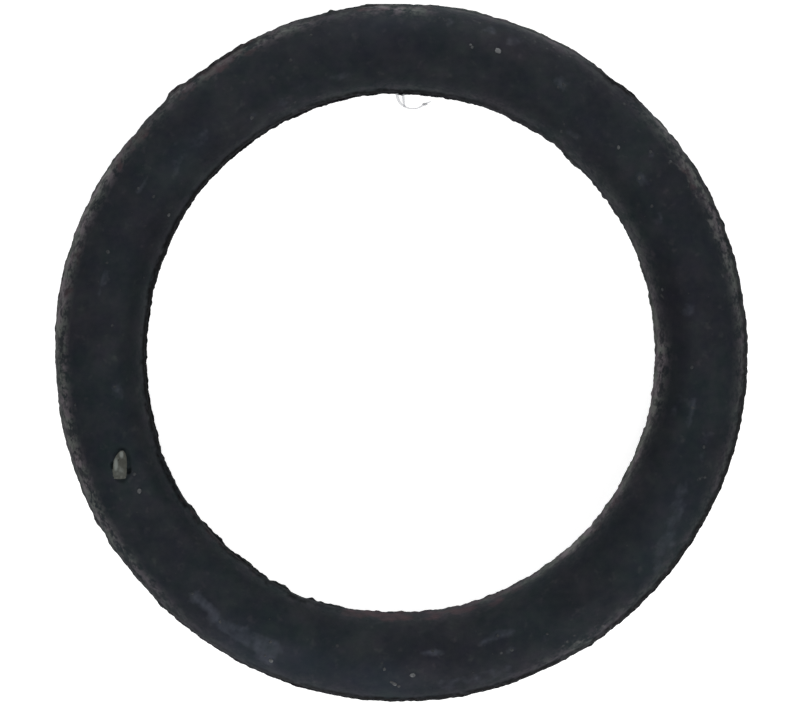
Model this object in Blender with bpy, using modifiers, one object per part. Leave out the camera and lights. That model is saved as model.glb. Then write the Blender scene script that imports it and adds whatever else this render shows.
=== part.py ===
"""A black rubber o-ring, lying flat, with the trimmed flash of a two-plate mould round its bore and its outside.

Metres, with +Z up along the bore. The origin is under the middle of the ring, on the surface that it lies on.
"""

from math import asin, atan2, cos, hypot, pi, radians, remainder, sin, tau

import bmesh
import bpy

# The two sizes that an o-ring is ordered by
BORE_DIAMETER = 0.0138
SECTION_DIAMETER = 0.0024

# A rubber ring that lies free has a slight set: each radius is this much more one way, and this much less across
OUTSIDE_SET = 0.000031
BORE_SET = 0.000067
LONG_WAY = radians(82.5)

# The thin ridge of rubber left where the mould halves met, inside and outside
FLASH_HEIGHT = 0.00002
FLASH_ROOT_THICKNESS = 0.00012
FLASH_EDGE_THICKNESS = 0.00005

# Nubs of flash that the trimming left standing on the outside
NUB_HEIGHT = 0.00004
NUB_LENGTH = 0.0008
NUB_PLACES = (radians(22.5), radians(95), radians(130))

# A stretch of flash torn out of the bore, down into the section
TEAR_DEPTH = 0.00005
TEAR_LENGTH = 0.0012
TEAR_PLACE = radians(247.5)

# How finely the faces follow the round: stations round the ring, and steps over half of the section
STATIONS = 144
HALF_SECTION_STEPS = 12

# Rubber as it looks, in linear light
RUBBER_COLOUR = (0.0185, 0.0212, 0.0252, 1.0)
RUBBER_ROUGHNESS = 0.55

MIDDLE_RADIUS = (BORE_DIAMETER + SECTION_DIAMETER) / 2
SECTION_RADIUS = SECTION_DIAMETER / 2


def clear_scene():
    """Remove what the scene starts with."""
    for thing in list(bpy.data.objects):
        bpy.data.objects.remove(thing)


def rubber():
    """Black nitrile rubber, slightly blue, with the dull skin that a mould gives it."""
    material = bpy.data.materials.new("black_rubber")
    material.use_nodes = True
    shader = material.node_tree.nodes["Principled BSDF"]
    shader.inputs["Base Color"].default_value = RUBBER_COLOUR
    shader.inputs["Roughness"].default_value = RUBBER_ROUGHNESS
    shader.inputs["Metallic"].default_value = 0.0
    return material


def section_outline():
    """Points round the section as (out from its middle, up): over the top, down the outside, under and up the bore."""
    root = asin(FLASH_ROOT_THICKNESS / SECTION_DIAMETER)
    step = (pi - 2 * root) / HALF_SECTION_STEPS
    crest = SECTION_RADIUS + FLASH_HEIGHT
    lip = FLASH_EDGE_THICKNESS / 2
    upper = [pi - root - step * count for count in range(HALF_SECTION_STEPS + 1)]
    lower = [-root - step * count for count in range(HALF_SECTION_STEPS + 1)]
    outline = [(SECTION_RADIUS * cos(turn), SECTION_RADIUS * sin(turn)) for turn in upper]
    outline += [(crest, lip), (crest, -lip)]
    outline += [(SECTION_RADIUS * cos(turn), SECTION_RADIUS * sin(turn)) for turn in lower]
    outline += [(-crest, -lip), (-crest, lip)]
    return outline


def turned_ring():
    """The section turned once round the bore, as a closed mesh that rests on the ground plane."""
    section = bmesh.new()
    corners = [section.verts.new((MIDDLE_RADIUS + out, 0.0, SECTION_RADIUS + up)) for out, up in section_outline()]
    for first, second in zip(corners, corners[1:] + corners[:1]):
        section.edges.new((first, second))
    outline = bpy.data.meshes.new("section")
    section.to_mesh(outline)
    section.free()
    turning = bpy.data.objects.new("section", outline)
    bpy.context.scene.collection.objects.link(turning)
    screw = turning.modifiers.new("turn", "SCREW")
    screw.axis = "Z"
    screw.angle = tau
    screw.steps = STATIONS
    screw.render_steps = STATIONS
    screw.use_merge_vertices = True
    screw.merge_threshold = 0.000001
    turned = bpy.data.meshes.new_from_object(turning.evaluated_get(bpy.context.evaluated_depsgraph_get()))
    bpy.data.objects.remove(turning)
    bpy.data.meshes.remove(outline)
    return turned


def hump(around, place, length, radius):
    """One at a place round the ring, falling smoothly to nothing half a length to either side along that radius."""
    away = abs(remainder(around - place, tau)) * radius
    reach = length / 2
    return cos(away / reach * pi / 2) ** 2 if away < reach else 0.0


def trim_change(around, outside):
    """How much further the edge of the flash stands out at an angle round the ring than it does elsewhere."""
    if outside:
        radius = MIDDLE_RADIUS + SECTION_RADIUS
        return NUB_HEIGHT * sum(hump(around, place, NUB_LENGTH, radius) for place in NUB_PLACES)
    return -TEAR_DEPTH * hump(around, TEAR_PLACE, TEAR_LENGTH, BORE_DIAMETER / 2)


def shape_flash_and_set(mesh):
    """Give the flash its nubs and its tear, then pull the whole ring out of round by its set."""
    for vertex in mesh.vertices:
        radius = hypot(vertex.co.x, vertex.co.y)
        around = atan2(vertex.co.y, vertex.co.x)
        out = radius - MIDDLE_RADIUS
        outside_share = (1 + out / SECTION_RADIUS) / 2
        if abs(out) > SECTION_RADIUS + FLASH_HEIGHT / 2:
            side = 1 if out > 0 else -1
            radius += side * trim_change(around, out > 0)
        set_here = BORE_SET + (OUTSIDE_SET - BORE_SET) * outside_share
        radius += set_here * cos(2 * (around - LONG_WAY))
        vertex.co.x = radius * cos(around)
        vertex.co.y = radius * sin(around)


def build():
    """Make the ring and put it in its collection."""
    clear_scene()
    collection = bpy.data.collections.new("o_ring")
    bpy.context.scene.collection.children.link(collection)
    mesh = turned_ring()
    mesh.name = "o_ring"
    shape_flash_and_set(mesh)
    mesh.materials.clear()
    mesh.materials.append(rubber())
    mesh.shade_smooth()
    mesh.set_sharp_from_angle(angle=radians(30))
    collection.objects.link(bpy.data.objects.new("o_ring", mesh))


build()
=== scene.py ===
from math import atan2, cos, degrees, hypot, pi, radians, remainder, sin, sqrt, tau
from random import Random

import bmesh
import bpy
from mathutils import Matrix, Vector, noise


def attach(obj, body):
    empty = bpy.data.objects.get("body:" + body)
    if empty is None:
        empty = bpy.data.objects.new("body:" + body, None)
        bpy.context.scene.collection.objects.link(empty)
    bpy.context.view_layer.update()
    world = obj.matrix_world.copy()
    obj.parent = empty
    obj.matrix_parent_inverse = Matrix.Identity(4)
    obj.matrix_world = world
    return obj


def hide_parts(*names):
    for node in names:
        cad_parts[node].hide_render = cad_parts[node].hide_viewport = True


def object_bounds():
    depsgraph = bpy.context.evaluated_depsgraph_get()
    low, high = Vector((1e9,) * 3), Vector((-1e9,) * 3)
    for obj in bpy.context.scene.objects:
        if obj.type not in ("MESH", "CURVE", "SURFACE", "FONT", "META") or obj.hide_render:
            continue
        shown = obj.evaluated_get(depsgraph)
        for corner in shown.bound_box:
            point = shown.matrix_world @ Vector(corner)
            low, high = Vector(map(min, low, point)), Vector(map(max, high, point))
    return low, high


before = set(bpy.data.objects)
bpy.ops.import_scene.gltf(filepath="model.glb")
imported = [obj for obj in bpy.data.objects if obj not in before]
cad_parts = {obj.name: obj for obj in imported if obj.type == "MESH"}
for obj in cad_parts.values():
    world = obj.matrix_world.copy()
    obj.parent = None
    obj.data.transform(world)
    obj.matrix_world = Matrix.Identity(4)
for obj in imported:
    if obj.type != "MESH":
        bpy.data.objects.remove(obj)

# The ring: one piece of black nitrile rubber, pressed between two mould plates. Its section is round, and
# where the plates met, a thin film of flash was trimmed back to a low ragged ridge inside and outside.
# Lying loose, it has a slight set, so that it is longer one way than the other.
cad_low, cad_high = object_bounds()
MM = 0.001
BORE = 13.8 * MM
SECTION_HEIGHT = cad_high.z - cad_low.z
SECTION_MIDDLE = SECTION_HEIGHT / 2
MIDDLE_RADIUS = (BORE + SECTION_HEIGHT) / 2
HALF_WIDTH = 1.190 * MM
OUTSIDE_SET = 0.031 * MM
BORE_SET = 0.067 * MM
LONG_WAY = radians(82.5)
SLICES = 36
STATIONS = 1440
ARC_STEPS = 26
RIDGE_TURNS = [radians(turn) for turn in (2.6, 1.7, 0.8, 0.0, -0.8, -1.7, -2.6)]

# Flash as it was trimmed: the usual height of the ridge, and each stretch that stands taller or shorter,
# as degrees where it starts, degrees where it ends and millimetres of change
RIDGE_HEIGHT = 0.024 * MM
RIDGE_HALF_THICKNESS = 0.05 * MM
OUTSIDE_TRIM = (
    (2.0, 8.0, -0.020), (21.3, 22.7, 0.055), (43.0, 47.0, -0.030), (50.5, 54.0, -0.040),
    (67.5, 74.0, 0.020), (92.3, 96.2, 0.065), (101.2, 102.0, 0.030), (123.5, 129.2, -0.035),
    (129.3, 132.2, 0.055), (132.3, 142.0, -0.040), (145.5, 152.2, 0.035), (178.5, 189.5, -0.022),
    (207.8, 209.8, 0.045), (212.0, 214.8, 0.040), (225.7, 226.7, 0.035), (241.5, 244.5, 0.025),
    (302.6, 303.5, 0.030), (313.5, 316.5, -0.025), (355.5, 358.5, -0.025),
)
BORE_TRIM = (
    (13.5, 16.5, -0.040), (37.2, 38.3, 0.040), (46.3, 50.8, 0.055), (53.5, 54.6, -0.030),
    (58.5, 65.0, 0.030), (89.3, 90.7, 0.030), (101.0, 108.0, 0.025), (124.5, 131.0, 0.025),
    (181.5, 185.0, -0.025), (199.5, 215.3, -0.055), (220.5, 223.5, 0.030), (223.7, 226.3, 0.035),
    (230.7, 235.0, 0.050), (239.3, 240.6, -0.035), (241.6, 244.5, 0.030), (244.9, 249.2, -0.075),
    (250.6, 251.8, -0.030), (256.5, 259.5, -0.025), (269.2, 270.8, 0.030), (301.5, 311.0, 0.020),
    (343.5, 350.0, -0.020),
)
TRIM_END_SHARE = 0.8
TRIM_END_MOST = 1.8

# Long stretches where the whole section swells out or falls short, given in the same way
OUTSIDE_SWELLS = (
    (335, 360, 0.025), (-10, 36, 0.025), (40, 77, -0.020), (80, 112, 0.012), (118, 150, -0.018),
    (152, 180, 0.012), (184, 262, -0.012),
)
BORE_SWELLS = (
    (262, 326, 0.036), (328, 370, 0.018), (-10, 24, 0.018), (26, 91, 0.030), (98, 148, -0.028),
    (154, 188, 0.022), (210, 256, -0.044),
)
SWELL_END = 7.0
SWELL_HALF_HEIGHT = 0.40 * MM

# How ragged the trimmed edge is: the most that it strays, and noises as a fineness and an amount each
RAGGED = 0.030 * MM
RAGGED_SIZES = ((1.2, 1.0), (3.5, 0.9), (9.0, 0.55), (22.0, 0.60), (48.0, 0.70), (95.0, 0.55))

# Torn rubber is paler: how pale the usual ridge is, from 0 to 1, and the added height that adds 1
FLASH_LEAST_PALE = 0.5
FLASH_PALE_HEIGHT = 0.08 * MM

# The grit chip's place, which its section below uses again: degrees round the ring, and out from the
# section's middle. The rubber dips round it, and has a small hollow at either side, each given in
# millimetres: east and north of the chip, half its width, half its length and its depth. The dip and the
# hollows also carry painted shade, as dark as their shade shares say.
CHIP_DEGREES = 201.75
CHIP_OUT = -0.055 * MM
DENT_DEPTH = 0.045 * MM
DENT_LENGTH = 0.98 * MM
DENT_WIDTH = 0.50 * MM
HOLLOWS = ((-0.248, -0.010, 0.052, 0.11, 0.055), (0.200, -0.165, 0.058, 0.11, 0.065))
DENT_SHADE = 0.32
HOLLOW_SHADE = 0.55
FINE_REACH = 0.62 * MM
FINE_CUTS = 3
LUMP_HEIGHT = 0.004 * MM
LUMP_SIZE = 0.5 * MM


def plateau(value, start, end, edge):
    """One between a start and an end, falling smoothly to nothing over an edge at either side."""
    inside = min(value - start, end - value) / edge + 0.5
    inside = min(max(inside, 0.0), 1.0)
    return inside * inside * (3 - 2 * inside)


def ragged_edge(around, seed):
    """The torn look of a trimmed edge: noise of several sizes that joins up round the ring."""
    height = 0.0
    for size, amount in RAGGED_SIZES:
        height += amount * noise.noise((size * cos(around), size * sin(around), seed))
    return height


def swell(around, outside):
    """How far the section as a whole swells out, or falls short, at an angle round the ring."""
    turned = degrees(around) % 360
    change = 0.0
    for start, end, amount in OUTSIDE_SWELLS if outside else BORE_SWELLS:
        change += amount * MM * plateau(turned, start, end, SWELL_END)
    return change


def ridge_height(around, outside):
    """How far the flash stands out from the round section at an angle round the ring."""
    turned = degrees(around) % 360
    change = 0.0
    for start, end, amount in OUTSIDE_TRIM if outside else BORE_TRIM:
        fading = min(TRIM_END_MOST, TRIM_END_SHARE * (end - start))
        change += amount * MM * plateau(turned, start, end, fading)
    return RIDGE_HEIGHT + change + RAGGED * ragged_edge(around, 3.7 if outside else 9.1)


def set_change(around, out):
    """How far the ring's set moves a point outwards, by where the point is across the section."""
    outside_share = (1 + out / HALF_WIDTH) / 2
    amount = BORE_SET + (OUTSIDE_SET - BORE_SET) * outside_share
    return amount * cos(2 * (around - LONG_WAY))


def skin_height(out):
    """Height of the section's upper skin at a distance out from its middle."""
    return SECTION_MIDDLE + SECTION_MIDDLE * sqrt(max(0.0, 1 - (out / HALF_WIDTH) ** 2))


def on_skin(turned, out):
    """A point on the upper skin at some degrees round the ring and a distance out from its middle."""
    around = radians(turned)
    radius = MIDDLE_RADIUS + out + set_change(around, out)
    return Vector((radius * cos(around), radius * sin(around), skin_height(out)))


def skin_normal(turned, out):
    """The way that the upper skin faces at such a point."""
    around = radians(turned)
    lean = out / HALF_WIDTH
    rise = sqrt(max(0.05, 1 - lean * lean))
    return Vector((lean * cos(around), lean * sin(around), rise)).normalized()


ring = bmesh.new()
arc = (pi - 2 * RIDGE_TURNS[0]) / ARC_STEPS
turns = list(RIDGE_TURNS)
turns += [RIDGE_TURNS[-1] - arc * count for count in range(1, ARC_STEPS)]
turns += [turn - pi for turn in RIDGE_TURNS]
turns += [RIDGE_TURNS[-1] - pi - arc * count for count in range(1, ARC_STEPS)]
corners = []
for turn in turns:
    place = (MIDDLE_RADIUS + HALF_WIDTH * cos(turn), 0.0, SECTION_MIDDLE + SECTION_MIDDLE * sin(turn))
    corners.append(ring.verts.new(place))
sides = [ring.edges.new(pair) for pair in zip(corners, corners[1:] + corners[:1])]
bmesh.ops.spin(
    ring, geom=corners + sides, cent=(0, 0, 0), axis=(0, 0, 1), angle=tau / SLICES,
    steps=STATIONS // SLICES,
)
bmesh.ops.spin(
    ring, geom=[*ring.verts, *ring.edges, *ring.faces], cent=(0, 0, 0), axis=(0, 0, 1),
    angle=tau * (SLICES - 1) / SLICES, steps=SLICES - 1, use_duplicate=True,
)
bmesh.ops.remove_doubles(ring, verts=ring.verts, dist=0.001 * MM)
chip_middle = on_skin(CHIP_DEGREES, CHIP_OUT)
near_chip = []
for edge in ring.edges:
    edge_middle = (edge.verts[0].co + edge.verts[1].co) / 2
    if (edge_middle - chip_middle).length < FINE_REACH:
        near_chip.append(edge)
bmesh.ops.subdivide_edges(ring, edges=near_chip, cuts=FINE_CUTS, use_grid_fill=True)
bmesh.ops.recalc_face_normals(ring, faces=ring.faces)

# Marks on the skin, each as degrees where it starts and ends, millimetres out from the section's middle
# where it starts and ends, and strength. A scuff is pale and dry, a stain is warm, a smear is blue-grey, a
# tint is bluer and darker than that, and a flank shade is painted shade on the flanks and rims, blacker than
# the rest.
SCUFFS = (
    (14.0, 24.0, 0.80, 1.10, 0.62), (27.0, 36.0, 0.74, 1.06, 0.42), (58.0, 64.0, 0.75, 1.02, 0.35),
    (60.0, 90.0, 0.86, 1.10, 0.30), (57.5, 60.5, 0.10, 0.42, 0.30), (10.5, 15.0, -1.02, -0.84, 0.35),
    (48.0, 56.0, -0.90, -0.60, 0.25), (80.0, 84.0, 0.72, 0.95, 0.35), (294.0, 312.0, 0.86, 1.12, 0.34),
    (298.0, 304.0, 0.66, 0.90, 0.30), (105.0, 120.0, -1.00, -0.75, 0.25),
    (196.0, 206.0, 0.80, 1.05, 0.25), (206.0, 216.0, 0.92, 1.10, 0.35), (336.0, 340.0, 0.50, 0.80, 0.30),
    (127.5, 133.5, 1.00, 1.25, 0.60), (92.0, 97.0, 1.05, 1.25, 0.50), (34.0, 36.2, 0.60, 0.96, 0.50),
    (13.4, 17.6, 0.66, 0.94, 0.46),
)
STAINS = (
    (114.0, 132.0, 0.80, 1.20, 0.74), (137.0, 148.0, 0.82, 1.18, 0.72), (160.0, 171.0, 0.80, 1.14, 0.50),
    (28.0, 36.0, 0.78, 1.10, 0.58), (84.0, 98.0, 1.00, 1.22, 0.55), (46.0, 56.0, 0.96, 1.18, 0.40),
    (60.0, 76.0, 0.90, 1.16, 0.35), (257.0, 273.0, -1.22, -1.00, 0.95),
    (273.0, 298.0, -1.22, -0.98, 0.72), (186.0, 200.0, 0.84, 1.12, 0.40),
    (211.0, 238.0, -1.20, -0.96, 0.52), (312.0, 330.0, -1.20, -0.98, 0.45),
    (350.0, 360.0, -1.18, -1.00, 0.30), (100.0, 108.0, 0.96, 1.18, 0.35),
)
SMEARS = (
    (229.0, 233.8, 0.38, 0.53, 0.85), (233.4, 238.2, 0.41, 0.57, 0.82), (228.2, 235.4, 0.25, 0.50, 0.70),
    (233.6, 239.5, 0.29, 0.68, 0.58), (236.0, 243.0, 0.28, 0.70, 0.56), (240.0, 246.0, 0.25, 0.74, 0.54),
    (243.8, 248.0, 0.20, 0.90, 0.58), (246.2, 248.8, 0.14, 0.50, 0.46), (276.0, 290.0, 0.62, 1.00, 0.34),
    (285.2, 293.0, -0.25, -0.03, 0.58), (287.6, 290.6, -0.31, -0.10, 0.64),
    (345.4, 351.4, -0.26, -0.07, 0.52), (349.0, 351.8, -0.24, -0.05, 0.50),
    (273.5, 278.5, -0.21, -0.03, 0.50), (318.0, 323.0, 0.64, 0.98, 0.34),
    (320.5, 326.0, 0.52, 0.88, 0.37), (323.0, 329.0, 0.40, 0.76, 0.40), (326.0, 332.0, 0.27, 0.64, 0.40),
    (329.0, 335.0, 0.14, 0.50, 0.40), (332.0, 337.0, 0.06, 0.36, 0.35), (164.0, 170.0, 0.02, 0.18, 0.56),
    (57.0, 61.0, 0.08, 0.44, 0.40), (7.0, 10.5, -0.55, -0.10, 0.38), (130.0, 142.0, -0.50, 0.00, 0.26),
    (185.0, 191.0, -0.60, -0.25, 0.38), (145.5, 149.0, 0.05, 0.25, 0.48),
    (26.0, 31.0, -0.55, -0.20, 0.36), (346.0, 352.0, -0.70, -0.40, 0.32),
    (99.5, 105.0, -0.80, -0.45, 0.34), (108.0, 112.0, -0.72, -0.40, 0.36),
    (340.0, 346.0, 0.30, 0.55, 0.34), (34.0, 37.5, -0.35, -0.05, 0.42), (50.0, 54.0, -0.85, -0.55, 0.38),
    (66.0, 72.0, 0.55, 0.90, 0.32), (73.4, 75.6, 0.70, 0.93, 0.46), (77.2, 79.2, 0.74, 0.95, 0.42),
    (80.4, 82.2, 0.64, 0.93, 0.38), (120.6, 124.2, -0.80, -0.58, 0.48),
    (114.2, 116.4, -0.87, -0.64, 0.42), (109.2, 111.2, 0.11, 0.34, 0.42),
    (135.6, 137.8, 0.01, 0.21, 0.42), (289.2, 291.8, 0.23, 0.41, 0.46), (296.4, 298.0, 0.26, 0.52, 0.42),
    (37.6, 39.4, 0.34, 0.56, 0.42),
)
TINTS = (
    (236.0, 274.0, 0.10, 1.10, 0.50), (84.0, 104.0, -0.30, 0.90, 0.30), (318.0, 334.0, -0.10, 0.90, 0.30),
    (48.0, 54.0, -0.50, 0.00, 0.35), (130.0, 142.0, -0.60, 0.10, 0.40),
)
# Painted shade on the flanks and rims
PAINTED_FLANK_SHADES = (
    (334.0, 374.0, -1.00, -0.40, 0.30), (-14.0, 22.0, -1.00, -0.40, 0.30),
    (24.0, 46.0, -0.97, -0.50, 0.18), (300.0, 330.0, -0.80, 0.20, 0.18),
    (54.0, 106.0, -0.97, -0.60, 0.20), (124.0, 150.0, -0.97, -0.60, 0.16),
    (148.0, 216.0, -0.97, -0.60, 0.25), (214.0, 258.0, -0.97, -0.62, 0.18),
    (78.0, 102.0, -0.50, 0.50, 0.10), (98.0, 118.0, 0.72, 1.00, 0.20), (72.0, 88.0, 0.72, 0.98, 0.12),
    (246.0, 294.0, 0.76, 1.14, 0.14), (278.0, 300.0, -0.95, -0.62, 0.12),
    (316.0, 358.0, 1.04, 1.30, 0.30), (64.0, 90.0, -1.12, -0.90, 0.12),
)
MARK_END_DEGREES = 3.0
MARK_END_OUT = 0.16
SMEAR_END_DEGREES = 2.5
SMEAR_END_OUT = 0.16
TINT_END_DEGREES = 12.0
TINT_END_OUT = 0.55
FLANK_SHADE_END_DEGREES = 12.0
FLANK_SHADE_END_OUT = 0.35

# Dust and painted light round the rims. A band of dust lies a little way in from the edge, given as degrees
# round the ring and the share of the rubber that it hides; it is stronger on the rims that face the light,
# so it is partly a painted highlight. Beside the flash there is a pale line of painted highlight, partly
# dust, in some places, and a dark line of painted shade, given as less than nothing, in others. Each is
# spread across the rim, from the section's middle at 0 to the flash's edge at 1, and the underside has a
# share of what the top has.
OUTSIDE_DUST_AND_HIGHLIGHT = (
    (0, 0.16), (20, 0.27), (32, 0.24), (42, 0.12), (52, 0.05), (62, 0.05), (72, 0.0), (82, 0.02),
    (91, 0.30), (101, 0.06), (111, 0.24), (122, 0.19), (132, 0.11), (141, 0.12), (150, 0.28), (182, 0.36),
    (198, 0.36), (212, 0.27), (222, 0.16), (233, 0.04), (283, 0.02), (300, 0.11), (323, 0.06),
    (345, 0.09), (360, 0.16),
)
BORE_DUST_AND_HIGHLIGHT = (
    (0, 0.38), (8, 0.06), (25, 0.08), (60, 0.04), (100, 0.04), (142, 0.02), (250, 0.02), (275, 0.04),
    (300, 0.0), (318, 0.05), (342, 0.05), (352, 0.24), (360, 0.38),
)
OUTSIDE_HIGHLIGHT_AND_SHADE = (
    (0, -0.75), (12, -0.58), (22, -0.70), (32, -0.44), (41, 0.20), (51, -1.0), (61, 0.12), (80, 0.10),
    (91, -0.38), (101, -0.42), (111, -0.24), (121, -0.92), (131, -0.45), (142, 0.0), (152, 0.56),
    (164, 0.52), (173, 0.50), (183, -0.02), (192, 0.10), (200, -0.10), (208, 0.0), (222, -0.36),
    (242, -0.30), (252, -0.72), (272, -0.98), (292, -0.92), (302, -0.60), (313, -0.90), (322, -1.0),
    (340, -0.95), (360, -0.75),
)
BORE_HIGHLIGHT_AND_SHADE = (
    (0, 0.42), (10, 0.33), (22, 0.20), (32, -0.10), (42, 0.0), (52, -0.36), (68, -0.46), (80, -0.66),
    (92, -0.88), (120, -0.74), (132, -0.92), (142, -1.0), (192, -1.0), (202, -0.88), (212, -0.90),
    (222, -0.58), (232, -0.78), (243, -0.70), (252, -0.42), (262, -0.12), (282, 0.04), (292, 0.20),
    (302, 0.34), (312, 0.66), (325, 0.44), (342, 0.80), (352, 1.15), (360, 0.42),
)
DUST_AND_HIGHLIGHT_ACROSS = ((0.62, 0.0), (0.73, 0.28), (0.84, 1.0), (0.90, 0.95), (0.94, 0.6), (0.97, 0.4), (1.0, 0.3))
HIGHLIGHT_ACROSS = ((0.855, 0.0), (0.89, 0.35), (0.91, 1.0), (0.98, 1.0), (1.0, 0.6))
RIM_SHADE_ACROSS = ((0.885, 0.0), (0.905, 0.8), (0.92, 1.0), (0.98, 1.0), (1.0, 0.7))
UNDERSIDE_SHARE = 0.5


def between(value, stops):
    """What holds at a value between stops, each given as a value and what holds there."""
    if value <= stops[0][0]:
        return stops[0][1]
    for (start, low), (end, high) in zip(stops, stops[1:]):
        if value <= end:
            share = (value - start) / (end - start)
            return low + (high - low) * share * share * (3 - 2 * share)
    return stops[-1][1]


def marks_here(turned, marks, end_degrees):
    """The marks that reach some degrees round the ring: where they start and end outwards, and strength."""
    near = []
    for start, end, low, high, amount in marks:
        along = plateau(turned, start, end, end_degrees)
        if along > 0:
            near.append((low, high, amount * along))
    return near


def strongest(near, out, end_out):
    """Strength of the strongest of those marks, at some millimetres out from the section's middle."""
    return max((amount * plateau(out, low, high, end_out) for low, high, amount in near), default=0.0)


def rim_here(around, outside):
    """A rim's ridge height and swelling, its band of dust and painted highlight, and its line: painted
    highlight above nothing, painted shade below.
    """
    turned = degrees(around) % 360
    dust_and_highlight_band, line = (OUTSIDE_DUST_AND_HIGHLIGHT, OUTSIDE_HIGHLIGHT_AND_SHADE) if outside else (BORE_DUST_AND_HIGHLIGHT, BORE_HIGHLIGHT_AND_SHADE)
    shape = (ridge_height(around, outside), swell(around, outside))
    return *shape, between(turned, dust_and_highlight_band), between(turned, line)


scuff_layer = ring.verts.layers.float.new("scuff")
stain_layer = ring.verts.layers.float.new("stain")
smear_layer = ring.verts.layers.float.new("smear")
tint_layer = ring.verts.layers.float.new("tint")
flank_shade_layer = ring.verts.layers.float.new("flank_shade")
dust_and_highlight_layer = ring.verts.layers.float.new("dust_and_highlight_band")
highlight_line_layer = ring.verts.layers.float.new("line")
rim_shade_layer = ring.verts.layers.float.new("rim_shade")
flash_layer = ring.verts.layers.float.new("flash")
KINDS_OF_MARK = (
    (scuff_layer, SCUFFS, MARK_END_DEGREES, MARK_END_OUT),
    (stain_layer, STAINS, MARK_END_DEGREES, MARK_END_OUT),
    (smear_layer, SMEARS, SMEAR_END_DEGREES, SMEAR_END_OUT),
    (tint_layer, TINTS, TINT_END_DEGREES, TINT_END_OUT),
    (flank_shade_layer, PAINTED_FLANK_SHADES, FLANK_SHADE_END_DEGREES, FLANK_SHADE_END_OUT),
)
reaching = {}
rims = {}
for vert in ring.verts:
    x, y, z = vert.co
    around = atan2(y, x)
    section_turn = atan2((z - SECTION_MIDDLE) / SECTION_MIDDLE, (hypot(x, y) - MIDDLE_RADIUS) / HALF_WIDTH)
    out = HALF_WIDTH * cos(section_turn)
    up = SECTION_MIDDLE * sin(section_turn)
    z = SECTION_MIDDLE + up
    radius = MIDDLE_RADIUS + out
    turned = degrees(around) % 360
    station = round(turned, 3)
    if station not in reaching:
        reaching[station] = [marks_here(turned, marks, end) for _, marks, end, _ in KINDS_OF_MARK]
        rims[station] = [rim_here(around, outside) for outside in (False, True)]
    if up > 0:
        for (layer, _, _, end_out), near in zip(KINDS_OF_MARK, reaching[station]):
            vert[layer] = strongest(near, out / MM, end_out)
    outside = out > 0
    ridge, swelling, dust_and_highlight_band, line = rims[station][outside]
    side_share = 1.0 if up >= 0 else UNDERSIDE_SHARE
    swelling += min(0.0, ridge)
    ridge = max(0.0, ridge)
    narrow = max(0.0, 1 - (up / RIDGE_HALF_THICKNESS) ** 2)
    wide = max(0.0, 1 - (up / SWELL_HALF_HEIGHT) ** 2)
    change = wide * swelling + narrow * ridge
    across = 1 + (abs(out) + change - HALF_WIDTH - swelling - ridge) / HALF_WIDTH
    # The band is dust and painted highlight; the line paints highlight where positive and shade where
    # negative
    if across > DUST_AND_HIGHLIGHT_ACROSS[0][0]:
        vert[dust_and_highlight_layer] = side_share * dust_and_highlight_band * between(across, DUST_AND_HIGHLIGHT_ACROSS)
        vert[highlight_line_layer] = side_share * max(0.0, line) * between(across, HIGHLIGHT_ACROSS)
        vert[rim_shade_layer] = side_share * max(0.0, -line) * between(across, RIM_SHADE_ACROSS)
    radius += change if outside else -change
    vert[flash_layer] = narrow * (FLASH_LEAST_PALE + max(0.0, ridge - RIDGE_HEIGHT) / FLASH_PALE_HEIGHT)
    radius += set_change(around, out)
    vert.co = (radius * cos(around), radius * sin(around), z)
    lump = LUMP_HEIGHT * noise.noise(vert.co / LUMP_SIZE)
    facing = Vector((out * cos(around), out * sin(around), up)).normalized()
    vert.co -= facing * (LUMP_HEIGHT + lump) * (1 - narrow)
    away = vert.co - chip_middle
    if up > 0 and away.length < DENT_LENGTH:
        reach = (away.x / (DENT_WIDTH / 2)) ** 2 + (away.y / (DENT_LENGTH / 2)) ** 2
        dent = plateau(reach, -1.0, 1.0, 0.5)
        vert.co.z -= DENT_DEPTH * dent
        # Painted shade in the dip round the chip, and in each hollow below
        vert[rim_shade_layer] = max(vert[rim_shade_layer], DENT_SHADE * dent)
        for east, north, half_width, half_length, depth in HOLLOWS:
            reach = ((away.x / MM - east) / half_width) ** 2 + ((away.y / MM - north) / half_length) ** 2
            hollow = plateau(reach, -1.0, 1.0, 1.2)
            vert.co.z -= depth * MM * hollow
            vert[rim_shade_layer] = max(vert[rim_shade_layer], HOLLOW_SHADE * hollow)
    vert.co.x = min(max(vert.co.x, cad_low.x), cad_high.x)
    vert.co.y = min(max(vert.co.y, cad_low.y), cad_high.y)
    vert.co.z = min(max(vert.co.z, cad_low.z), cad_high.z)

ring_mesh = bpy.data.meshes.new("rubber_ring")
ring.to_mesh(ring_mesh)
ring.free()
ring_mesh.shade_smooth()
rubber_ring = bpy.data.objects.new("rubber_ring", ring_mesh)
bpy.context.scene.collection.objects.link(rubber_ring)
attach(rubber_ring, "root")
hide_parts("o_ring")

# Rubber as it shows: black with a faint blue or plum cast, dull, finely grained from the mould, and dusty
# near the rims, with painted highlight and painted shade along the rims and painted shade on its flanks.
# The shares say how much of its own colour each effect shows at the most.
RUBBER_COOL = (0.0072, 0.0123, 0.0141, 1.0)
RUBBER_WARM = (0.0094, 0.0107, 0.0141, 1.0)
RUBBER_PLUM = (0.0090, 0.0095, 0.0163, 1.0)
SCUFF_COLOUR = (0.092, 0.092, 0.092, 1.0)
STAIN_COLOUR = (0.053, 0.034, 0.038, 1.0)
SMEAR_COLOUR = (0.063, 0.070, 0.089, 1.0)
TINT_COLOUR = (0.024, 0.031, 0.050, 1.0)
# Dust colours, which also carry the painted highlight along the rims
DUST_AND_HIGHLIGHT_COOL = (0.112, 0.121, 0.111, 1.0)
DUST_AND_HIGHLIGHT_WARM = (0.129, 0.113, 0.124, 1.0)
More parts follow.
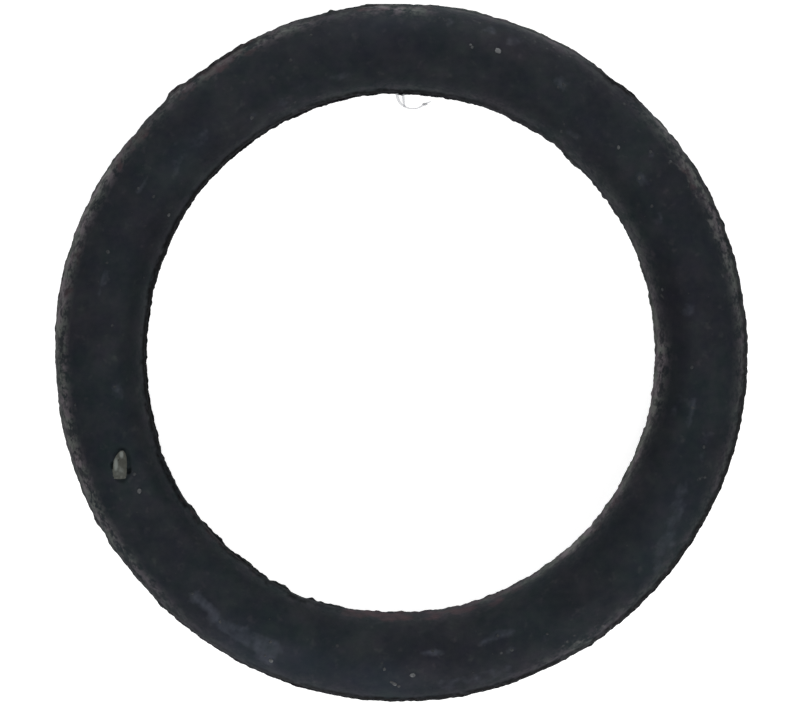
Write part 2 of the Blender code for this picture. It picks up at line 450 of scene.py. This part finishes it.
# Near black for painted shade: the rims' dark line, the flanks and the dip round the chip
PAINTED_SHADE_COLOUR = (0.0008, 0.0009, 0.0013, 1.0)
RUBBER_ROUGHNESS = 0.64
RUBBER_SPECULAR = 0.06
ROUGHNESS_MOTTLE = 0.12
RIM_SHADE_ROUGHER = 0.30
PLUM_SHARE = 0.50
HAZE_SHARE = 0.09
FLECK_SHARE = 0.10
BLOOM_SHARE = 0.036
DUST_AND_HIGHLIGHT_SHARE = 2.3
HIGHLIGHT_LEAST = 0.50
FLASH_SHARE = 0.60
TINT_SHARE = 0.40
STAIN_SHARE = 0.65
SMEAR_SHARE = 0.42
SCUFF_SHARE = 0.85
RIM_SHADE_LEAST = 0.40
RIM_SHADE_MOTTLE = 0.80
STROKES_DEGREES = 240.0
STROKE_SIZES = (0.7, 0.15, 0.6)
STROKE_LEAST = 0.72
STROKE_DEPTH = 0.5
GRAIN_RELIEF = 0.005 * MM


def mottle_group():
    """Fine mottle that all the dull materials here share: a soft noise of one size, in millimetres."""
    group = bpy.data.node_groups.new("fine_mottle", "ShaderNodeTree")
    for name, usual in (("Size", 0.1), ("Detail", 2.0), ("Low", 0.3), ("High", 0.7)):
        socket = group.interface.new_socket(name, in_out="INPUT", socket_type="NodeSocketFloat")
        socket.default_value = usual
    group.interface.new_socket("Amount", in_out="OUTPUT", socket_type="NodeSocketFloat")
    nodes, links = group.nodes, group.links
    given = nodes.new("NodeGroupInput")
    result = nodes.new("NodeGroupOutput")
    place = nodes.new("ShaderNodeTexCoord")
    per_metre = nodes.new("ShaderNodeMath")
    per_metre.operation = "DIVIDE"
    per_metre.inputs[0].default_value = 1 / MM
    cloud = nodes.new("ShaderNodeTexNoise")
    spread = nodes.new("ShaderNodeMapRange")
    links.new(given.outputs["Size"], per_metre.inputs[1])
    links.new(place.outputs["Object"], cloud.inputs["Vector"])
    links.new(per_metre.outputs[0], cloud.inputs["Scale"])
    links.new(given.outputs["Detail"], cloud.inputs["Detail"])
    links.new(cloud.outputs["Fac"], spread.inputs["Value"])
    links.new(given.outputs["Low"], spread.inputs["From Min"])
    links.new(given.outputs["High"], spread.inputs["From Max"])
    links.new(spread.outputs["Result"], result.inputs["Amount"])
    return group


FINE_MOTTLE = mottle_group()


def mottle(nodes, size, low, high, detail=2.0):
    """Place the shared mottle in a material: size in millimetres, and the noise levels that give 0 and 1."""
    node = nodes.new("ShaderNodeGroup")
    node.node_tree = FINE_MOTTLE
    node.inputs["Size"].default_value = size
    node.inputs["Detail"].default_value = detail
    node.inputs["Low"].default_value = low
    node.inputs["High"].default_value = high
    return node.outputs["Amount"]


def calculate(material, operation, first, second):
    """One step of arithmetic on two sockets or numbers."""
    node = material.node_tree.nodes.new("ShaderNodeMath")
    node.operation = operation
    for socket, value in zip(node.inputs, (first, second)):
        if isinstance(value, (int, float)):
            socket.default_value = value
        else:
            material.node_tree.links.new(value, socket)
    return node.outputs[0]


def blend_colours(material, amount, first, second):
    """Mix two colours, each a socket or a plain colour, by an amount from a socket."""
    node = material.node_tree.nodes.new("ShaderNodeMix")
    node.data_type = "RGBA"
    material.node_tree.links.new(amount, node.inputs["Factor"])
    for name, value in (("A", first), ("B", second)):
        socket = next(entry for entry in node.inputs if entry.name == name and entry.type == "RGBA")
        if isinstance(value, tuple):
            socket.default_value = value
        else:
            material.node_tree.links.new(value, socket)
    return next(entry for entry in node.outputs if entry.type == "RGBA")


def painted(material, name):
    """A mark that the mesh carries, as a socket."""
    node = material.node_tree.nodes.new("ShaderNodeAttribute")
    node.attribute_name = name
    return node.outputs["Fac"]


def worn_mark(material, name, pattern, strength):
    """A painted mark broken up by a pattern, so that it thins out in flecks."""
    both = calculate(material, "ADD", painted(material, name), pattern)
    broken = calculate(material, "MULTIPLY", calculate(material, "SUBTRACT", both, 1.0), 1.6)
    broken.node.use_clamp = True
    return calculate(material, "MULTIPLY", broken, strength)


def soft_mark(material, name, pattern, strength):
    """A painted mark with a ragged border, like a film that something soft left."""
    doubled = calculate(material, "MULTIPLY", painted(material, name), 2.0)
    both = calculate(material, "ADD", doubled, pattern)
    film = calculate(material, "SUBTRACT", both, 1.0)
    film.node.use_clamp = True
    return calculate(material, "MULTIPLY", film, strength)


def brush_strokes(nodes, links):
    """Strokes straight across the ring, as something that brushed over it leaves them."""
    place = nodes.new("ShaderNodeTexCoord")
    turn = nodes.new("ShaderNodeMapping")
    turn.vector_type = "TEXTURE"
    turn.inputs["Rotation"].default_value = (0.0, 0.0, radians(STROKES_DEGREES))
    turn.inputs["Scale"].default_value = tuple(size * MM for size in STROKE_SIZES)
    cloud = nodes.new("ShaderNodeTexNoise")
    cloud.inputs["Scale"].default_value = 1.0
    cloud.inputs["Detail"].default_value = 3.0
    spread = nodes.new("ShaderNodeMapRange")
    spread.inputs["From Min"].default_value = 0.32
    spread.inputs["From Max"].default_value = 0.68
    links.new(place.outputs["Object"], turn.inputs["Vector"])
    links.new(turn.outputs["Vector"], cloud.inputs["Vector"])
    links.new(cloud.outputs["Fac"], spread.inputs["Value"])
    return spread.outputs["Result"]


def black_rubber():
    """Dull moulded rubber with its casts, haze, dust, scuffs, stains, smear, and painted highlight and
    shade.
    """
    material = bpy.data.materials.new("black_rubber_worn")
    material.use_nodes = True
    nodes, links = material.node_tree.nodes, material.node_tree.links
    shader = nodes["Principled BSDF"]
    shader.inputs["Specular IOR Level"].default_value = RUBBER_SPECULAR
    colour = blend_colours(material, mottle(nodes, 2.2, 0.36, 0.64, detail=4.0), RUBBER_COOL, RUBBER_WARM)
    plum = calculate(material, "MULTIPLY", mottle(nodes, 0.32, 0.36, 0.70, detail=3.0), PLUM_SHARE)
    colour = blend_colours(material, plum, colour, RUBBER_PLUM)
    haze = calculate(material, "MULTIPLY", mottle(nodes, 0.9, 0.42, 0.80, detail=5.0), HAZE_SHARE)
    fleck = calculate(material, "MULTIPLY", mottle(nodes, 0.28, 0.62, 0.82), FLECK_SHARE)
    bloom = calculate(material, "MULTIPLY", mottle(nodes, 0.20, 0.30, 0.72, detail=3.0), BLOOM_SHARE)
    dust = calculate(material, "ADD", calculate(material, "ADD", haze, fleck), bloom)
    large = calculate(material, "MULTIPLY", mottle(nodes, 0.32, 0.36, 0.64, detail=4.0), 1.3)
    small = calculate(material, "MULTIPLY", mottle(nodes, 0.10, 0.30, 0.70, detail=3.0), 1.1)
    blotch = calculate(material, "SUBTRACT", calculate(material, "ADD", large, small), 0.70)
    blotch.node.use_clamp = True
    # The rim band: dust, and painted highlight where the rims face the light
    dust_and_highlight_band = calculate(material, "MULTIPLY", painted(material, "dust_and_highlight_band"), blotch)
    dust = calculate(material, "ADD", dust, calculate(material, "MULTIPLY", dust_and_highlight_band, DUST_AND_HIGHLIGHT_SHARE))
    # The pale line beside the flash: painted highlight, partly dust
    even = calculate(material, "ADD", blotch, HIGHLIGHT_LEAST)
    line = calculate(material, "MULTIPLY", painted(material, "line"), even)
    dust = calculate(material, "ADD", dust, line)
    edge = calculate(material, "MULTIPLY", painted(material, "flash"), mottle(nodes, 0.16, 0.25, 0.60))
    dust = calculate(material, "ADD", dust, calculate(material, "MULTIPLY", edge, FLASH_SHARE))
    dust.node.use_clamp = True
    cast = mottle(nodes, 0.50, 0.42, 0.58, detail=3.0)
    dust_and_highlight_colour = blend_colours(material, cast, DUST_AND_HIGHLIGHT_COOL, DUST_AND_HIGHLIGHT_WARM)
    colour = blend_colours(material, dust, colour, dust_and_highlight_colour)
    wash = mottle(nodes, 1.2, 0.10, 0.70, detail=4.0)
    tint = calculate(material, "MULTIPLY", painted(material, "tint"), wash)
    tint = calculate(material, "MULTIPLY", tint, TINT_SHARE)
    colour = blend_colours(material, tint, colour, TINT_COLOUR)
    grime = mottle(nodes, 0.35, 0.30, 0.70, detail=5.0)
    stain = worn_mark(material, "stain", grime, STAIN_SHARE)
    colour = blend_colours(material, stain, colour, STAIN_COLOUR)
    cloud = mottle(nodes, 0.28, 0.25, 0.75, detail=5.0)
    film = soft_mark(material, "smear", cloud, SMEAR_SHARE)
    strokes = calculate(material, "MULTIPLY", brush_strokes(nodes, links), STROKE_DEPTH)
    strokes = calculate(material, "ADD", strokes, STROKE_LEAST)
    film = calculate(material, "MULTIPLY", film, strokes)
    colour = blend_colours(material, film, colour, SMEAR_COLOUR)
    worn = mottle(nodes, 0.20, 0.28, 0.72, detail=5.0)
    scuff = worn_mark(material, "scuff", worn, SCUFF_SHARE)
    colour = blend_colours(material, scuff, colour, SCUFF_COLOUR)
    # Painted shade on the flanks and rims
    colour = blend_colours(material, painted(material, "flank_shade"), colour, PAINTED_SHADE_COLOUR)
    # The dark line beside the flash: painted shade
    broken = calculate(material, "MULTIPLY", mottle(nodes, 0.15, 0.33, 0.56, detail=4.0), RIM_SHADE_MOTTLE)
    broken = calculate(material, "ADD", broken, RIM_SHADE_LEAST)
    rim_shade = calculate(material, "MULTIPLY", painted(material, "rim_shade"), broken)
    rim_shade.node.use_clamp = True
    colour = blend_colours(material, rim_shade, colour, PAINTED_SHADE_COLOUR)
    links.new(colour, shader.inputs["Base Color"])
    dull = calculate(material, "MULTIPLY", mottle(nodes, 0.3, 0.3, 0.7), ROUGHNESS_MOTTLE)
    rougher = calculate(material, "MULTIPLY", painted(material, "rim_shade"), RIM_SHADE_ROUGHER)
    dull = calculate(material, "ADD", dull, rougher)
    links.new(calculate(material, "ADD", dull, RUBBER_ROUGHNESS), shader.inputs["Roughness"])
    coarse = mottle(nodes, 0.22, 0.2, 0.8)
    grain = calculate(material, "ADD", mottle(nodes, 0.09, 0.2, 0.8, detail=3.0), coarse)
    relief = nodes.new("ShaderNodeBump")
    relief.inputs["Strength"].default_value = 1.0
    relief.inputs["Distance"].default_value = GRAIN_RELIEF
    links.new(grain, relief.inputs["Height"])
    links.new(relief.outputs["Normal"], shader.inputs["Normal"])
    return material


ring_mesh.materials.clear()
ring_mesh.materials.append(black_rubber())

# The grit chip: a splinter of pale stone pressed flush into the rubber on the left of the ring. It is
# pointed at one end, with a sloping facet along its outer side that carries a painted highlight, and the
# rubber dips round it. Each corner is given as millimetres east and north of its middle, and the share of
# its height.
CHIP_CORNERS = (
    (-0.035, 0.380, 0.78), (0.052, 0.384, 0.78), (0.110, 0.305, 0.66), (0.140, 0.190, 0.55),
    (0.150, -0.010, 0.52), (0.142, -0.280, 0.52), (0.112, -0.375, 0.52), (-0.080, -0.392, 0.55),
    (-0.228, -0.382, 0.50), (-0.244, -0.180, 0.50), (-0.212, 0.110, 0.60), (-0.140, 0.250, 0.66),
    (0.010, 0.250, 1.00), (-0.115, 0.050, 0.98), (-0.120, -0.190, 0.95), (0.045, -0.240, 0.97),
    (0.095, 0.060, 0.88), (0.085, 0.190, 0.92),
)
CHIP_HEIGHT = 0.080 * MM
CHIP_ROOT = 0.09 * MM
CHIP_EDGE = 0.008 * MM
CHIP_ROUGH = 0.010 * MM
CHIP_ROUGH_SIZE = 0.06 * MM
CHIP_ROOTED_BELOW = 0.65
CHIP_ROOT_TAPER = 0.85
CHIP_CUTS = 4

# Spots of painted highlight on its lit facets and of painted shade on its darker facets and edges:
# millimetres east and north, half width, half length, and strength
CHIP_HIGHLIGHTS = (
    (0.003, 0.274, 0.050, 0.080, 0.88), (-0.148, 0.005, 0.050, 0.160, 0.92),
    (-0.010, -0.150, 0.060, 0.060, 0.30),
)
CHIP_SHADES = (
    (-0.030, 0.090, 0.040, 0.120, 0.95), (0.050, 0.070, 0.060, 0.120, 0.9),
    (0.125, -0.040, 0.060, 0.340, 0.6), (-0.060, -0.350, 0.030, 0.080, 0.7),
    (0.050, -0.340, 0.030, 0.080, 0.7), (0.100, 0.280, 0.060, 0.110, 0.8),
    (-0.040, -0.400, 0.220, 0.040, 0.6), (-0.235, -0.300, 0.040, 0.120, 0.7),
    (0.022, 0.385, 0.040, 0.040, 0.6),
)
chip = bmesh.new()
for x, y, height in CHIP_CORNERS:
    top = cad_high.z - CHIP_HEIGHT * (1 - height)
    chip.verts.new((chip_middle.x + x * MM, chip_middle.y + y * MM, top))
    if height < CHIP_ROOTED_BELOW:
        root = Vector((x, y, 0)) * MM * CHIP_ROOT_TAPER
        chip.verts.new((chip_middle.x + root.x, chip_middle.y + root.y, top - CHIP_ROOT))
hull = bmesh.ops.convex_hull(chip, input=chip.verts)
bmesh.ops.delete(chip, geom=list({*hull["geom_interior"], *hull["geom_unused"]}), context="VERTS")
bmesh.ops.bevel(
    chip, geom=list(chip.edges), offset=CHIP_EDGE, segments=1, profile=0.5, affect="EDGES", material=-1,
)
bmesh.ops.triangulate(chip, faces=chip.faces)
bmesh.ops.subdivide_edges(chip, edges=chip.edges, cuts=CHIP_CUTS, use_grid_fill=True)


def spotted(place, spots):
    """Strength of the strongest of some oval spots, given in millimetres from the chip's middle."""
    strength = 0.0
    for east, north, half_width, half_length, amount in spots:
        reach = hypot((place.x / MM - east) / half_width, (place.y / MM - north) / half_length)
        strength = max(strength, amount * plateau(reach, -1.0, 1.0, 0.8))
    return strength


chip_highlight_layer = chip.verts.layers.float.new("chip_highlight")
chip_shade_layer = chip.verts.layers.float.new("chip_shade")
for vert in chip.verts:
    vert[chip_highlight_layer] = spotted(vert.co - chip_middle, CHIP_HIGHLIGHTS)
    vert[chip_shade_layer] = spotted(vert.co - chip_middle, CHIP_SHADES)
    vert.co.z -= CHIP_ROUGH * (0.5 + noise.noise(vert.co / CHIP_ROUGH_SIZE))
    vert.co.z = min(vert.co.z, cad_high.z)
bmesh.ops.recalc_face_normals(chip, faces=chip.faces)
chip_mesh = bpy.data.meshes.new("grit_chip")
chip.to_mesh(chip_mesh)
chip.free()
grit_chip = bpy.data.objects.new("grit_chip", chip_mesh)
bpy.context.scene.collection.objects.link(grit_chip)
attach(grit_chip, "root")

# The stone's own two greys, its painted shade, and its painted highlight
STONE_DARK = (0.032, 0.034, 0.029, 1.0)
STONE_LIGHT = (0.056, 0.060, 0.052, 1.0)
STONE_SHADE = (0.023, 0.024, 0.019, 1.0)
STONE_HIGHLIGHT = (0.140, 0.153, 0.142, 1.0)
STONE_RELIEF = 0.004 * MM


def grit_stone():
    """Dull stone, grey with a green cast, with painted highlight on its lit facets and painted shade on the
    rest.
    """
    material = bpy.data.materials.new("grit_stone")
    material.use_nodes = True
    nodes, links = material.node_tree.nodes, material.node_tree.links
    shader = nodes["Principled BSDF"]
    shader.inputs["Roughness"].default_value = 0.7
    shader.inputs["Specular IOR Level"].default_value = 0.3
    patches = mottle(nodes, 0.10, 0.35, 0.65, detail=3.0)
    colour = blend_colours(material, patches, STONE_DARK, STONE_LIGHT)
    colour = blend_colours(material, painted(material, "chip_shade"), colour, STONE_SHADE)
    colour = blend_colours(material, painted(material, "chip_highlight"), colour, STONE_HIGHLIGHT)
    links.new(colour, shader.inputs["Base Color"])
    relief = nodes.new("ShaderNodeBump")
    relief.inputs["Distance"].default_value = STONE_RELIEF
    links.new(mottle(nodes, 0.05, 0.2, 0.8), relief.inputs["Height"])
    links.new(relief.outputs["Normal"], shader.inputs["Normal"])
    return material


chip_mesh.materials.append(grit_stone())

# Dust grains: pale specks that settled on the sticky skin. The ones that show are placed one by one, as
# degrees round the ring, millimetres from the middle of the bore, millimetres across and paleness. Finer
# dust is scattered.
GRAINS = (
    (72.2, 8.46, 0.150, 0.85), (77.3, 8.42, 0.090, 0.42), (76.9, 8.37, 0.080, 0.32),
    (272.1, 8.58, 0.130, 0.75), (247.1, 8.90, 0.130, 0.80), (245.8, 8.84, 0.090, 0.24),
    (207.8, 7.88, 0.120, 0.50), (268.9, 8.82, 0.125, 0.60), (268.4, 8.77, 0.095, 0.36),
    (269.6, 8.87, 0.090, 0.32), (43.4, 7.98, 0.110, 0.42), (149.2, 7.21, 0.105, 0.38),
    (267.0, 8.43, 0.105, 0.32), (288.5, 8.42, 0.100, 0.24), (290.5, 8.44, 0.095, 0.20),
    (160.9, 8.26, 0.100, 0.17), (162.9, 8.19, 0.080, 0.10), (204.4, 7.80, 0.095, 0.20),
    (35.4, 8.82, 0.110, 0.30), (122.3, 7.44, 0.115, 0.26), (36.3, 7.89, 0.095, 0.20),
    (349.4, 7.91, 0.090, 0.14), (147.9, 8.26, 0.090, 0.16), (147.7, 7.80, 0.085, 0.14),
    (236.0, 8.63, 0.100, 0.28), (337.8, 8.75, 0.090, 0.15), (229.1, 8.48, 0.090, 0.15),
    (13.7, 7.18, 0.090, 0.16), (342.8, 8.45, 0.090, 0.14), (58.9, 8.37, 0.085, 0.14),
    (59.4, 8.23, 0.085, 0.13), (288.9, 7.96, 0.090, 0.13), (245.7, 8.44, 0.090, 0.22),
    (186.7, 7.69, 0.090, 0.11), (257.7, 7.98, 0.085, 0.10), (276.1, 7.98, 0.080, 0.10),
    (110.6, 8.34, 0.080, 0.11), (105.8, 8.81, 0.090, 0.18), (30.4, 7.75, 0.085, 0.12),
    (357.2, 7.76, 0.085, 0.12), (297.5, 8.43, 0.085, 0.12), (174.5, 7.73, 0.080, 0.10),
    (156.7, 9.10, 0.110, 0.50), (189.0, 8.79, 0.080, 0.10), (38.9, 8.55, 0.090, 0.16),
    (48.1, 8.92, 0.095, 0.25),
)

# Fine dust: how many grains, the palest of them, the smallest and largest in millimetres, and how every
# grain is sunk and knocked out of round, as shares of its size
FINE_GRAINS = 60
FINE_GRAIN_MOST_PALE = 0.10
FINE_GRAIN_SIZES = (0.025, 0.050)
GRAIN_SUNK = 0.14
GRAIN_KNOCKED = 0.25
GRAIN_DARK = (0.010, 0.012, 0.014, 1.0)
GRAIN_PALE = (0.120, 0.124, 0.128, 1.0)
chance = Random(4621)
dust = bmesh.new()
paleness_layer = dust.verts.layers.float.new("paleness")


def add_grain(turned, out, size, paleness, roundness):
    """Set a grain into the skin, squashed and knocked out of round, its top inside the ring's height."""
    made = bmesh.ops.create_icosphere(dust, subdivisions=roundness, radius=size / 2)
    stretch = Vector((chance.uniform(0.8, 1.25), chance.uniform(0.8, 1.25), chance.uniform(0.5, 0.8)))
    middle = on_skin(turned, out) - skin_normal(turned, out) * size * GRAIN_SUNK
    spin = chance.uniform(0, tau)
    for vert in made["verts"]:
        knock = 1 + GRAIN_KNOCKED * noise.noise(vert.co / size * 2 + middle / MM)
        x, y, z = (vert.co[axis] * stretch[axis] * knock for axis in range(3))
        vert.co = middle + Vector((x * cos(spin) - y * sin(spin), x * sin(spin) + y * cos(spin), z))
        vert.co.z = min(vert.co.z, cad_high.z)
        vert[paleness_layer] = paleness


for turned, from_bore, size, paleness in GRAINS:
    out = from_bore * MM - MIDDLE_RADIUS
    add_grain(turned, out - set_change(radians(turned), out), size * MM, paleness, 2)
for _ in range(FINE_GRAINS):
    lean = chance.uniform(-0.93, 0.93)
    size = chance.uniform(*FINE_GRAIN_SIZES)
    turned = chance.uniform(0, 360)
    paleness = chance.uniform(0, FINE_GRAIN_MOST_PALE)
    add_grain(turned, lean * HALF_WIDTH, size * MM, paleness, 1)
bmesh.ops.recalc_face_normals(dust, faces=dust.faces)
dust_mesh = bpy.data.meshes.new("dust_grains")
dust.to_mesh(dust_mesh)
dust.free()
dust_grains = bpy.data.objects.new("dust_grains", dust_mesh)
bpy.context.scene.collection.objects.link(dust_grains)
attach(dust_grains, "root")


def pale_dust():
    """Mineral dust, from nearly as dark as the rubber to pale grey, and uneven within a grain."""
    material = bpy.data.materials.new("pale_dust")
    material.use_nodes = True
    nodes, links = material.node_tree.nodes, material.node_tree.links
    shader = nodes["Principled BSDF"]
    shader.inputs["Roughness"].default_value = 0.8
    shader.inputs["Specular IOR Level"].default_value = 0.14
    uneven = calculate(material, "ADD", mottle(nodes, 0.05, 0.2, 0.8), 0.5)
    amount = calculate(material, "MULTIPLY", painted(material, "paleness"), uneven)
    colour = blend_colours(material, amount, GRAIN_DARK, GRAIN_PALE)
    links.new(colour, shader.inputs["Base Color"])
    return material


dust_mesh.materials.append(pale_dust())

# The lint fibre: a pale, half clear, flat hair of fluff caught on the flash at the top of the bore. It
# leaves the rubber in two strands that meet, and curls out over the hole to a small knot near its loose
# end. Its points are given as millimetres east, north and up, and the share of its usual width.
FIBRE_WIDTH = 0.062 * MM
FIBRE_THICKNESS = 0.012 * MM
FIBRE_STRANDS = {
    "long": (
        (-0.106, 6.975, 1.25, 1.3), (-0.104, 6.900, 1.23, 1.3), (-0.079, 6.790, 1.15, 1.2),
        (-0.012, 6.685, 1.05, 1.1), (0.095, 6.605, 0.98, 0.9), (0.200, 6.565, 0.94, 0.7),
        (0.309, 6.551, 0.92, 0.6), (0.400, 6.558, 0.92, 0.6), (0.480, 6.580, 0.94, 0.7),
        (0.577, 6.632, 0.97, 0.9), (0.631, 6.672, 1.00, 1.1), (0.738, 6.725, 1.04, 0.7),
        (0.818, 6.739, 1.06, 0.5),
    ),
    "short": (
        (0.055, 6.975, 1.25, 1.3), (0.056, 6.900, 1.22, 1.3), (0.068, 6.819, 1.16, 1.2),
        (0.078, 6.685, 1.04, 1.0), (0.100, 6.605, 0.98, 0.9),
    ),
}
FIBRE_KNOT = (0.640, 6.672, 1.00)
FIBRE_KNOT_SIZE = 0.120 * MM
FIBRE_KNOT_STRETCH = (1.3, 0.7, 0.3)
FIBRE_ALPHA = 0.42
FLUFF_DARK = (0.32, 0.33, 0.35, 1.0)
FLUFF_PALE = (0.44, 0.45, 0.47, 1.0)
fibre = bmesh.new()
for strand, points in FIBRE_STRANDS.items():
    curve = bpy.data.curves.new(strand, "CURVE")
    curve.dimensions = "3D"
    curve.extrude = (FIBRE_WIDTH - FIBRE_THICKNESS) / 2
    curve.bevel_depth = FIBRE_THICKNESS / 2
    curve.bevel_resolution = 1
    curve.use_fill_caps = True
    curve.resolution_u = 6
    spline = curve.splines.new("NURBS")
    spline.points.add(len(points) - 1)
    spline.order_u = 4
    spline.use_endpoint_u = True
    for entry, (x, y, z, thickness) in zip(spline.points, points):
        entry.co = (x * MM, y * MM, z * MM, 1.0)
        entry.radius = thickness
        entry.tilt = radians(90)
    drawn = bpy.data.objects.new(strand, curve)
    bpy.context.scene.collection.objects.link(drawn)
    tube = bpy.data.meshes.new_from_object(drawn.evaluated_get(bpy.context.evaluated_depsgraph_get()))
    fibre.from_mesh(tube)
    bpy.data.objects.remove(drawn)
    bpy.data.meshes.remove(tube)
knot = bmesh.ops.create_icosphere(fibre, subdivisions=2, radius=FIBRE_KNOT_SIZE / 2)
for vert in knot["verts"]:
    vert.co = Vector(FIBRE_KNOT) * MM + vert.co * Vector(FIBRE_KNOT_STRETCH)
bmesh.ops.remove_doubles(fibre, verts=fibre.verts, dist=0.0005 * MM)
bmesh.ops.recalc_face_normals(fibre, faces=fibre.faces)
fibre_mesh = bpy.data.meshes.new("lint_fibre")
fibre.to_mesh(fibre_mesh)
fibre.free()
fibre_mesh.shade_smooth()
lint_fibre = bpy.data.objects.new("lint_fibre", fibre_mesh)
bpy.context.scene.collection.objects.link(lint_fibre)
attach(lint_fibre, "root")


def fluff():
    """Pale fibre, half clear, a little uneven along its length."""
    material = bpy.data.materials.new("fluff")
    material.use_nodes = True
    nodes, links = material.node_tree.nodes, material.node_tree.links
    shader = nodes["Principled BSDF"]
    shader.inputs["Roughness"].default_value = 0.6
    shader.inputs["Alpha"].default_value = FIBRE_ALPHA
    colour = blend_colours(material, mottle(nodes, 0.12, 0.35, 0.65), FLUFF_DARK, FLUFF_PALE)
    links.new(colour, shader.inputs["Base Color"])
    return material


fibre_mesh.materials.append(fluff())

# The floor: a plain sheet of matt white paper under the ring. It shows as white where nothing shades it,
# and keeps the ring's shadow.
FLOOR_SIDE = 0.24
FLOOR_COLOUR = (0.60, 0.60, 0.60, 1.0)
FLOOR_LIFT = 0.82
sheet = bmesh.new()
bmesh.ops.create_grid(sheet, x_segments=1, y_segments=1, size=FLOOR_SIDE / 2)
sheet_mesh = bpy.data.meshes.new("floor")
sheet.to_mesh(sheet_mesh)
sheet.free()
floor = bpy.data.objects.new("floor", sheet_mesh)
bpy.context.scene.collection.objects.link(floor)


def seen_directly(tree):
    """A socket that is 1 for light that the camera, a gloss or a clear body sees directly."""
    path = tree.nodes.new("ShaderNodeLightPath")
    seen = path.outputs["Is Camera Ray"]
    for way in ("Is Glossy Ray", "Is Transmission Ray"):
        either = tree.nodes.new("ShaderNodeMath")
        either.operation = "MAXIMUM"
        tree.links.new(seen, either.inputs[0])
        tree.links.new(path.outputs[way], either.inputs[1])
        seen = either.outputs[0]
    return seen


def floor_paper():
    """Matt white paper that reads as pure white to the camera."""
    material = bpy.data.materials.new("floor_paper")
    material.use_nodes = True
    tree = material.node_tree
    shader = tree.nodes["Principled BSDF"]
    shader.inputs["Base Color"].default_value = FLOOR_COLOUR
    shader.inputs["Roughness"].default_value = 1.0
    shader.inputs["Specular IOR Level"].default_value = 0.0
    shader.inputs["Emission Color"].default_value = (1.0, 1.0, 1.0, 1.0)
    lift = tree.nodes.new("ShaderNodeMath")
    lift.operation = "MULTIPLY"
    lift.inputs[1].default_value = FLOOR_LIFT
    tree.links.new(seen_directly(tree), lift.inputs[0])
    tree.links.new(lift.outputs[0], shader.inputs["Emission Strength"])
    return material


sheet_mesh.materials.append(floor_paper())

# The light: a pale room, a soft box beyond the bottom of the picture, one low beyond its top, a weak one
# above that and another on the right, each given by name, degrees round, degrees up and strength
ROOM_LIGHT = 0.15
SOFT_BOXES = (
    ("soft_box_bottom", 270, 35, 0.240),
    ("soft_box_top_low", 90, 15, 0.235),
    ("soft_box_top_high", 90, 35, 0.015),
    ("soft_box_right", 0, 35, 0.028),
)
SOFT_BOX_DISTANCE = 0.15
SOFT_BOX_SIZE = 0.10
world = bpy.data.worlds.new("pale_room")
bpy.context.scene.world = world
world.use_nodes = True
background = world.node_tree.nodes["Background"]
background.inputs["Color"].default_value = (1.0, 1.0, 1.0, 1.0)
room = world.node_tree.nodes.new("ShaderNodeMapRange")
room.inputs["To Min"].default_value = ROOM_LIGHT
room.inputs["To Max"].default_value = 1.0
world.node_tree.links.new(seen_directly(world.node_tree), room.inputs["Value"])
world.node_tree.links.new(room.outputs["Result"], background.inputs["Strength"])
for name, turned, raised, watts in SOFT_BOXES:
    level = SOFT_BOX_DISTANCE * cos(radians(raised))
    height = SOFT_BOX_DISTANCE * sin(radians(raised))
    place = Vector((level * cos(radians(turned)), level * sin(radians(turned)), height))
    lamp = bpy.data.lights.new(name, "AREA")
    lamp.shape = "DISK"
    lamp.size = SOFT_BOX_SIZE
    lamp.energy = watts
    holder = bpy.data.objects.new(name, lamp)
    holder.location = place
    holder.rotation_euler = place.to_track_quat("Z", "Y").to_euler()
    bpy.context.scene.collection.objects.link(holder)

# The camera: straight above the ring, as the photograph is taken, with the ring filling the frame. Its
# long lens stands far off, so that the ring's near and far rims lie at one scale.
PHOTO_WIDTH = 800
PHOTO_HEIGHT = 706
RING_CENTRE_PIXEL = (400.95, 353.2)
PIXELS_PER_METRE = 37350
SENSOR = 36.0
LENS = 400.0
camera_data = bpy.data.cameras.new("camera")
camera_data.sensor_width = SENSOR
camera_data.lens = LENS
camera_data.clip_start = 0.001
camera_data.clip_end = 10.0
camera = bpy.data.objects.new("camera", camera_data)
view_width = PHOTO_WIDTH / PIXELS_PER_METRE
camera.location = (
    (PHOTO_WIDTH / 2 - RING_CENTRE_PIXEL[0]) / PIXELS_PER_METRE,
    (RING_CENTRE_PIXEL[1] - PHOTO_HEIGHT / 2) / PIXELS_PER_METRE,
    SECTION_MIDDLE + view_width * LENS / SENSOR,
)
bpy.context.scene.collection.objects.link(camera)
bpy.context.scene.camera = camera
bpy.context.scene.view_settings.view_transform = "Standard"
